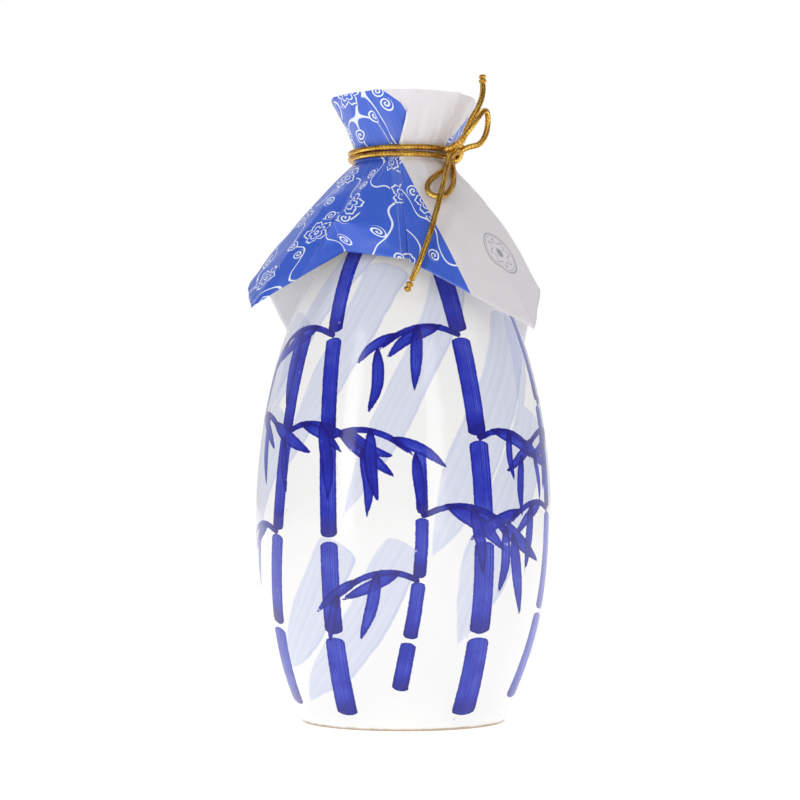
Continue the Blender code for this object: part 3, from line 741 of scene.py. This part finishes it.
# Each column of the sheet, in order round it: its direction on the flat sheet, its azimuth at the rim, its
# azimuth and radius at the cord, then its azimuth, radius and height at the hem, and its bulge. Angles are in
# degrees and the rest is in millimetres. A fold turns back on itself where the azimuth at the cord falls.
columns = [
    (-65, -70, -92, 15.55, -73.0, 47.0, 138.6, 1.2),
    (-58, -62, -79, 15.55, -60.5, 54.0, 132.6, 1.4),
    (-50, -54, -62, 15.50, -48.6, 60.4, 126.0, 0.8),
    (-42, -44, -40, 15.45, -44.0, 43.5, 136.0, 0.4),
    (-33, -34, -19, 15.40, -38.8, 28.6, 144.3, 0.0),
    (-20, -22, -12, 15.25, -1.0, 33.5, 141.0, 0.0),
    (-2.5, -8, 27, 14.90, 30.0, 33.0, 142.0, 0.0),
    (15.5, 7, -5, 15.55, 3.0, 34.0, 140.2, 0.2),
    (29, 22, 20, 15.60, 25.5, 46.0, 129.8, 1.0),
    (40, 36, 38, 15.60, 40.3, 59.5, 119.2, 1.4),
    (50.6, 46, 58, 15.50, 58.5, 48.5, 132.3, 2.6),
    (65, 57, 30, 14.90, 33.0, 34.0, 139.5, 0.0),
    (80, 72, 64, 15.20, 64.0, 35.0, 143.7, 0.2),
    (100, 97, 92, 15.40, 88.0, 38.5, 141.5, 0.3),
    (115, 113, 116, 15.50, 114.0, 45.0, 134.5, 2.4),
    (130, 128, 138, 15.50, 136.0, 58.0, 119.0, 1.4),
    (139, 138, 150, 15.20, 154.0, 46.0, 129.6, 1.0),
    (153, 151, 180, 14.90, 176.0, 33.0, 138.5, 0.0),
    (168, 166, 146, 15.55, 149.0, 38.5, 143.0, 0.6),
    (182, 181, 168, 15.55, 172.0, 38.0, 142.5, 1.2),
    (195, 195, 190, 15.50, 193.0, 41.5, 138.5, 1.6),
    (220, 219, 230, 15.45, 218.0, 61.0, 121.5, 1.8),
    (240, 239, 262, 15.25, 257.0, 45.0, 136.0, 1.2),
    (267, 264, 316, 14.90, 305.0, 33.0, 142.0, 0.0),
    (295, 290, 268, 15.55, 287.0, 47.0, 138.6, 1.2),
]
turned_folds = {10: 63.7, 11: 72.0}  # columns whose direction on the sheet differs at the cord
rim_corners = [(-96, 22.6, 0.0), (-70, 23.2, -0.5), (-22, 24.0, -0.3), (7, 24.0, 0.3), (46, 24.2, 0.7),
               (97, 23.2, 0.2), (128, 22.8, 0.0), (166, 23.0, 0.0), (195, 22.8, 0.0), (219, 23.0, 0.0),
               (264, 22.6, 0.0), (290, 23.2, -0.5)]
kinked_column = 4
kink_place = np.array((-0.0212, -0.0265, 0.1526))
kink_share = 0.70
pieces_between = 12

keys = np.array(columns, float)
spread = np.arange((len(keys) - 1) * pieces_between) / pieces_between
per_column = [np.interp(spread, np.arange(len(keys)), keys[:, k]) for k in range(8)]
sheet_angle = np.radians(per_column[0])
rim_azimuth, cinch_azimuth = np.radians(per_column[1]), np.radians(per_column[2])
cinch_radius, bulge = per_column[3] / 1000, per_column[7] / 1000


def polar(azimuth, radius, height):
    """Points at azimuths from the front, radii from the axis and heights."""
    shape = np.broadcast_shapes(np.shape(azimuth), np.shape(radius), np.shape(height))
    return np.stack([np.broadcast_to(radius * np.sin(azimuth), shape),
                     np.broadcast_to(-radius * np.cos(azimuth), shape), np.broadcast_to(height, shape)], -1)


def between_keys(points):
    """Points on the straight lines between the key columns' points, so that each stretch lies flat."""
    return np.stack([np.interp(spread, np.arange(len(keys)), points[:, k]) for k in range(3)], -1)


hem_keys = polar(np.radians(keys[:, 4]), keys[:, 5] / 1000, keys[:, 6] / 1000)
foot_keys = polar(np.radians(keys[:, 2]), keys[:, 3] / 1000, cinch_foot)
kink_keys = np.zeros_like(hem_keys)
straight = foot_keys[kinked_column] * (1 - kink_share) + hem_keys[kinked_column] * kink_share
kink_keys[kinked_column] = kink_place - straight
hem, kink = between_keys(hem_keys), between_keys(kink_keys)
corner_azimuth, corner_radius, corner_rise = np.array(rim_corners, float).T
corner_places = polar(np.radians(corner_azimuth), corner_radius / 1000, paper_top - 0.0009 + corner_rise / 1000)
corner_side = np.searchsorted(corner_azimuth, per_column[1], side="right").clip(1, len(corner_azimuth) - 1)
corner_from, corner_to = corner_places[corner_side - 1], corner_places[corner_side]
heading = polar(rim_azimuth, 1.0, 0.0)
step = corner_to - corner_from
rim_away = ((corner_from[:, 0] * step[:, 1] - corner_from[:, 1] * step[:, 0])
            / (heading[:, 0] * step[:, 1] - heading[:, 1] * step[:, 0]))
rim_flat = heading * np.maximum(rim_away, head_top_radius + 0.0009)[:, None]
rim_flat[:, 2] = np.maximum(np.interp(per_column[1], corner_azimuth, corner_places[:, 2]), head_high.z + 0.0003)
cinch_above = polar(cinch_azimuth, cinch_radius, cinch_top)
cinch_below = polar(cinch_azimuth, cinch_radius, cinch_foot)

rows, reach = [], []
for share in (0.12, 0.30, 0.50, 0.68, 0.82, 0.92, 0.975):
    flat_top = rim_flat * share
    flat_top[:, 2] = paper_top + (rim_flat[:, 2] - paper_top) * share**12
    rows.append(flat_top)
    reach.append(np.full(len(spread), rim_reach * share))
for share in np.linspace(0.0, 1.0, 15)[:-1]:
    rows.append(rim_flat * (1 - share) + cinch_above * share)
    reach.append(np.full(len(spread), rim_reach + (cinch_top_reach - rim_reach) * share))
for share in np.linspace(0.0, 1.0, 6)[:-1]:
    rows.append(cinch_above * (1 - share) + cinch_below * share)
    reach.append(np.full(len(spread), cinch_top_reach + (cinch_foot_reach - cinch_top_reach) * share))
side_middle = np.round((sheet_angle - math.radians(-5.0)) / (math.pi / 2)) * math.pi / 2 + math.radians(-5.0)
hem_reach = sheet_half / np.cos(sheet_angle - side_middle)
lift = unit(cinch_below * (1.0, 1.0, 0.0)) * 0.8 + np.array((0.0, 0.0, 0.6))
for share in np.linspace(0.0, 1.0, 37):
    tent_share = min(share / kink_share, (1 - share) / (1 - kink_share))
    bow = (4 * share * (1 - share) * bulge)[:, None] * lift
    rows.append(cinch_below * (1 - share) + hem * share + kink * tent_share + bow)
    reach.append(cinch_foot_reach + (hem_reach - cinch_foot_reach) * share)
paper_grid, reach = np.array(rows), np.array(reach)
cord_angle = keys[:, 0].copy()
for fold, direction in turned_folds.items():
    cord_angle[fold] = direction
cord_angle = np.radians(np.interp(spread, np.arange(len(keys)), cord_angle))
at_cord = np.clip((reach - rim_reach) / (cinch_top_reach - rim_reach), 0.0, 1.0)
angle_here = sheet_angle + (cord_angle - sheet_angle) * at_cord
below_cord = np.clip((reach - cinch_foot_reach) / (hem_reach - cinch_foot_reach), 0.0, 1.0)
within = np.minimum(reach, cinch_foot_reach)
sheet_x = within * np.sin(angle_here) * (1 - below_cord) + hem_reach * np.sin(sheet_angle) * below_cord
sheet_y = -within * np.cos(angle_here) * (1 - below_cord) - hem_reach * np.cos(sheet_angle) * below_cord


def saw(phase):
    """A wave of straight slopes between -1 and 1."""
    return np.abs(phase % 1.0 - 0.5) * 4 - 1


creaser = np.random.default_rng(5)
crease = np.zeros_like(sheet_x)
for wave in range(9):
    heading, pitch = creaser.uniform(0, math.pi), creaser.uniform(0.013, 0.034)
    along = sheet_x * math.cos(heading) + sheet_y * math.sin(heading)
    crease += saw(along / pitch + creaser.uniform()) * 0.00009
from_cinch = np.where(reach < cinch_top_reach, cinch_top_reach - reach, np.maximum(reach - cinch_foot_reach, 0.0))
gathers = sum(saw(sheet_angle * n / math.tau + creaser.uniform()) for n in (23, 37, 61))
gather_depth = 0.00008 * (from_cinch / 0.004) * np.exp(1 - from_cinch / 0.004)
settle = np.clip(from_cinch / 0.006, 0.0, 1.0) * np.clip((reach - 0.8 * rim_reach) / 0.004, 0.25, 1.0)
row_step, column_step = np.gradient(paper_grid, axis=0), np.gradient(paper_grid, axis=1)
facing = unit(np.cross(column_step, row_step))
facing *= np.sign((facing * paper_grid * (1.0, 1.0, 0.0)).sum(-1, keepdims=True) + 1e-9)
facing[:7] = (0.0, 0.0, 1.0)
paper_grid = paper_grid + facing * (crease * settle + gathers * gather_depth)[..., None]

paper_radius = np.hypot(paper_grid[..., 0], paper_grid[..., 1])
head_share = np.clip((paper_grid[..., 2] - head_low.z) / (head_high.z - head_low.z), 0.0, 1.0)
beside_head = head_foot_radius + (head_top_radius - head_foot_radius) * head_share + 0.0003 + 0.0006 * head_share
least = np.where(paper_grid[..., 2] > head_low.z - 0.001, beside_head, neck_radius + 0.00035)
least[:7] = 0.0
grow = np.maximum(paper_radius, least) / np.maximum(paper_radius, 1e-9)
paper_grid[..., :2] *= grow[..., None]
paper_grid[:7, :, 2] = np.maximum(paper_grid[:7, :, 2], head_high.z + 0.0004)

paper = surface("paper_cover_sheet", paper_grid, np.arange(len(paper_grid) + 1.0), np.arange(len(spread) + 1.0),
                poles=((0.0, 0.0, paper_top), None))
corner_map = np.zeros(len(paper.data.loops) * 2, np.float32)
paper.data.uv_layers["surface"].data.foreach_get("uv", corner_map)
corner_map = corner_map.reshape(-1, 2)
corner_vertex = np.zeros(len(paper.data.loops), np.int32)
paper.data.loops.foreach_get("vertex_index", corner_vertex)
flat_points = np.vstack([np.stack([sheet_x, sheet_y], -1).reshape(-1, 2), [(0.0, 0.0)]])
paper.data.uv_layers["surface"].data.foreach_set("uv", flat_points[corner_vertex].astype(np.float32).ravel())
paper.data.set_sharp_from_angle(angle=math.radians(24.0))
worn = np.abs(np.gradient(np.gradient(crease + gathers * gather_depth * 2, axis=1), axis=1))
fold_marks = np.isin(np.arange(len(spread)) % pieces_between, (0,)).astype(float)
whitening = np.vstack([np.stack([np.broadcast_to(fold_marks, sheet_x.shape), worn / worn.max(),
                                 np.zeros_like(sheet_x)], -1).reshape(-1, 3), [(0.0, 0.0, 0.0)]])
store(paper, "creased", whitening)

solid = paper.modifiers.new("thickness", "SOLIDIFY")
solid.thickness = 0.00012
solid.offset = -1.0
solid.material_offset = 1
solid.material_offset_rim = 1

# The print: five-petalled flowers in line, on a winding vine with curls between them.
scroll, group_in, group_out = new_group("scroll_print", {"Sheet": "Vector"}, {"Line": "Float"})
sheet_place = group_in.outputs[0]
wobble = node(scroll, "TexNoise", {"Vector": sheet_place, "Scale": 90.0, "Detail": 1.0}).outputs["Color"]
wobble = node(scroll, "VectorMath", {0: wobble, 1: (0.5, 0.5, 0.5)}, operation="SUBTRACT").outputs[0]
sheet_place = node(scroll, "VectorMath", {0: wobble, 1: (0.0024, 0.0024, 0.0), 2: sheet_place},
                   operation="MULTIPLY_ADD").outputs[0]


def thin_line(tree, value, half):
    """1 where a value is within half of zero, with a soft edge."""
    return fade(tree, calc(tree, "ABSOLUTE", value), half * 1.35, half * 0.65)


def motif(tree, vector, size, scatter):
    """Distance and angle from the middle of the nearest motif, the motifs about a size apart."""
    cells = node(tree, "TexVoronoi", {"Vector": vector, "Scale": 1 / size, "Randomness": scatter},
                 voronoi_dimensions="2D")
    local = node(tree, "VectorMath", {0: vector, 1: cells.outputs["Position"]}, operation="SUBTRACT").outputs[0]
    split = node(tree, "SeparateXYZ", {0: local})
    spin = calc(tree, "MULTIPLY", node(tree, "SeparateXYZ", {0: cells.outputs["Color"]}).outputs[0], math.tau)
    angle = calc(tree, "ADD", calc(tree, "ARCTAN2", split.outputs[1], split.outputs[0]), spin)
    return node(tree, "VectorMath", {0: local}, operation="LENGTH").outputs["Value"], angle


flower_pitch, curl_pitch, line_half = 0.0215, 0.0115, 0.00029
away, angle = motif(scroll, sheet_place, flower_pitch, 0.45)
petal = calc(scroll, "ABSOLUTE", calc(scroll, "COSINE", calc(scroll, "MULTIPLY", angle, 2.5)))
frill = calc(scroll, "MULTIPLY", calc(scroll, "SINE", calc(scroll, "MULTIPLY", angle, 15.0)), 0.00022)
outer_petal = calc(scroll, "ADD", calc(scroll, "MULTIPLY_ADD", petal, 0.0018, 0.0030), frill)
inner_petal = calc(scroll, "MULTIPLY_ADD", petal, 0.0011, 0.0017)
line = thin_line(scroll, calc(scroll, "SUBTRACT", away, outer_petal), line_half)
for ring in (inner_petal, 0.0007):
    line = calc(scroll, "MAXIMUM", line, thin_line(scroll, calc(scroll, "SUBTRACT", away, ring), line_half * 0.8))
outside_flower = fade(scroll, away, 0.0054, 0.0058)
vine = node(scroll, "TexNoise", {"Vector": sheet_place, "Scale": 78.0, "Detail": 0.0}).outputs["Fac"]
vine = thin_line(scroll, calc(scroll, "SUBTRACT", vine, 0.5), 0.0115)
curl_away, curl_angle = motif(scroll, sheet_place, curl_pitch, 0.85)
curl = calc(scroll, "SUBTRACT", calc(scroll, "MULTIPLY", curl_away, 1 / 0.00125),
            calc(scroll, "MULTIPLY", curl_angle, 1 / math.tau))
curl = calc(scroll, "SUBTRACT", calc(scroll, "FRACT", curl), 0.5)
curl = thin_line(scroll, calc(scroll, "MULTIPLY", curl, 0.00125), line_half * 0.9)
curl = calc(scroll, "MULTIPLY", curl, fade(scroll, curl_away, 0.0025, 0.0022))
vine = calc(scroll, "MULTIPLY", vine, fade(scroll, curl_away, 0.0019, 0.0022))
line = calc(scroll, "MAXIMUM", line, calc(scroll, "MULTIPLY", calc(scroll, "MAXIMUM", vine, curl), outside_flower))
scroll.links.new(line, group_out.inputs[0])

band_heading = math.radians(40.0)
band_half = 0.0209
printed, tree, shader = principled("printed_paper")
sheet_map = node(tree, "UVMap", uv_map="surface").outputs[0]
place = node(tree, "SeparateXYZ", {0: sheet_map})
line = node(tree, "Group", {"Sheet": sheet_map}, node_tree=scroll).outputs[0]
across_band = calc(tree, "ADD", calc(tree, "MULTIPLY", place.outputs[0], math.cos(band_heading)),
                   calc(tree, "MULTIPLY", place.outputs[1], math.sin(band_heading)))
along_band = calc(tree, "SUBTRACT", calc(tree, "MULTIPLY", place.outputs[0], math.sin(band_heading)),
                  calc(tree, "MULTIPLY", place.outputs[1], math.cos(band_heading)))
from_band = calc(tree, "ABSOLUTE", calc(tree, "SUBTRACT", across_band, 0.0026))
in_band = fade(tree, from_band, band_half + 0.00006, band_half - 0.00006)
blue = blend_colour(tree, grain(tree, sheet_map, 55.0), (0.020, 0.088, 0.560, 1.0), (0.036, 0.124, 0.650, 1.0))
colour = blend_colour(tree, line, blue, (0.82, 0.86, 0.95, 1.0))
badge_place = node(tree, "CombineXYZ", {0: calc(tree, "SUBTRACT", across_band, 0.0045),
                                        1: calc(tree, "SUBTRACT", along_band, 0.0840)})
badge_away = node(tree, "VectorMath", {0: badge_place.outputs[0]}, operation="LENGTH").outputs["Value"]
badge_split = node(tree, "SeparateXYZ", {0: badge_place.outputs[0]})
badge_angle = calc(tree, "ARCTAN2", badge_split.outputs[1], badge_split.outputs[0])
badge_wave = calc(tree, "COSINE", calc(tree, "MULTIPLY", badge_angle, 8.0))
badge_petal = calc(tree, "MULTIPLY_ADD", badge_wave, 0.0008, 0.0044)
badge = thin_line(tree, calc(tree, "SUBTRACT", badge_away, 0.0074), 0.00025)
badge = calc(tree, "MAXIMUM", badge, thin_line(tree, calc(tree, "SUBTRACT", badge_away, 0.0065), 0.00012))
badge = calc(tree, "MAXIMUM", badge, thin_line(tree, calc(tree, "SUBTRACT", badge_away, badge_petal), 0.00025))
badge = calc(tree, "MAXIMUM", badge, fade(tree, badge_away, 0.0017, 0.0015))
paper_white = blend_colour(tree, grain(tree, sheet_map, 40.0), (0.69, 0.655, 0.67, 1.0), (0.76, 0.73, 0.74, 1.0))
paper_white = blend_colour(tree, calc(tree, "MULTIPLY", badge, 0.75), paper_white, (0.22, 0.23, 0.25, 1.0))
colour = blend_colour(tree, in_band, colour, paper_white)
creases = node(tree, "SeparateXYZ", {0: node(tree, "Attribute", attribute_name="creased").outputs["Vector"]})
fibres = grain(tree, sheet_map, 1800.0)
rubbed = calc(tree, "MULTIPLY", fade(tree, creases.outputs[0], 0.80, 1.0), fade(tree, fibres, 0.30, 0.60))
rubbed = calc(tree, "MULTIPLY_ADD", creases.outputs[1], 0.18, calc(tree, "MULTIPLY", rubbed, 0.22), clamp=True)
colour = blend_colour(tree, rubbed, colour, (0.84, 0.85, 0.90, 1.0))
paper_height = calc(tree, "ADD", calc(tree, "MULTIPLY", grain(tree, sheet_map, 160.0, 5.0), 1.0),
                    calc(tree, "MULTIPLY", fibres, 0.06))
shader.inputs["Coat Weight"].default_value = 0.35
shader.inputs["Coat Roughness"].default_value = 0.18
plug_in(tree, shader, Base_Color=colour, Roughness=calc(tree, "MULTIPLY_ADD", fibres, 0.16, 0.30),
        Normal=bumped(tree, paper_height, 0.0005))

plain, tree, shader = principled("paper_back")
sheet_map = node(tree, "UVMap", uv_map="surface").outputs[0]
pulp = grain(tree, sheet_map, 900.0, 5.0)
plug_in(tree, shader, Base_Color=blend_colour(tree, pulp, (0.80, 0.79, 0.77, 1.0), (0.90, 0.89, 0.88, 1.0)),
        Roughness=calc(tree, "MULTIPLY_ADD", pulp, 0.15, 0.65), Normal=bumped(tree, pulp, 0.00008))
paper.data.materials.append(printed)
paper.data.materials.append(plain)
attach(paper, "closure")
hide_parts("paper_cover")

# Stopper
#
# A turned hardwood head over a moulded plug, which three silicone rings seal in the bore. A silicone washer
# lies between the head and the lip. The wood is waxed, and the plug still shows the mould's satin texture.

wood, tree, shader = principled("waxed_wood")
body = node(tree, "TexCoord").outputs["Object"]
warp = node(tree, "TexNoise", {"Vector": body, "Scale": 60.0}).outputs["Color"]
bent = node(tree, "VectorMath", {0: warp, 1: (0.006, 0.006, 0.0), 2: body}, operation="MULTIPLY_ADD").outputs[0]
rings = node(tree, "TexWave", {"Vector": bent, "Scale": 170.0, "Distortion": 2.0, "Detail": 3.0}).outputs["Fac"]
pores = grain(tree, stretched(tree, body, (2600.0, 2600.0, 260.0)), 1.0)
timber = blend_colour(tree, rings, (0.46, 0.25, 0.11, 1.0), (0.62, 0.39, 0.20, 1.0))
timber = blend_colour(tree, fade(tree, pores, 0.58, 0.70), timber, (0.22, 0.11, 0.05, 1.0))
plug_in(tree, shader, Base_Color=timber, Roughness=calc(tree, "MULTIPLY_ADD", pores, 0.25, 0.32),
        Normal=bumped(tree, calc(tree, "MULTIPLY_ADD", rings, 0.3, pores), 0.00008))


def moulded(name, dark, light, roughness, depth):
    """A moulded part's finish: a faint cloud in the colour, and a fine even texture from the mould."""
    made, tree, shader = principled(name)
    body = node(tree, "TexCoord").outputs["Object"]
    cloud, texture = grain(tree, body, 140.0), grain(tree, body, 5200.0, 2.0)
    plug_in(tree, shader, Base_Color=blend_colour(tree, cloud, dark, light),
            Roughness=calc(tree, "MULTIPLY_ADD", cloud, 0.14, roughness), Normal=bumped(tree, texture, depth))
    return made


plug_finish = moulded("plug_plastic", (0.70, 0.67, 0.59, 1.0), (0.80, 0.78, 0.71, 1.0), 0.38, 0.00002)
seal_finish = moulded("silicone", (0.66, 0.65, 0.62, 1.0), (0.78, 0.77, 0.75, 1.0), 0.50, 0.00001)
finishes = {"stopper_head": wood, "stopper_plug": plug_finish, "mouth_gasket": seal_finish,
            "sealing_ring_upper": seal_finish, "sealing_ring_middle": seal_finish,
            "sealing_ring_lower": seal_finish}
for piece_name, finish in finishes.items():
    cad_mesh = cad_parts[piece_name].data
    cad_mesh.materials.clear()
    cad_mesh.materials.append(finish)
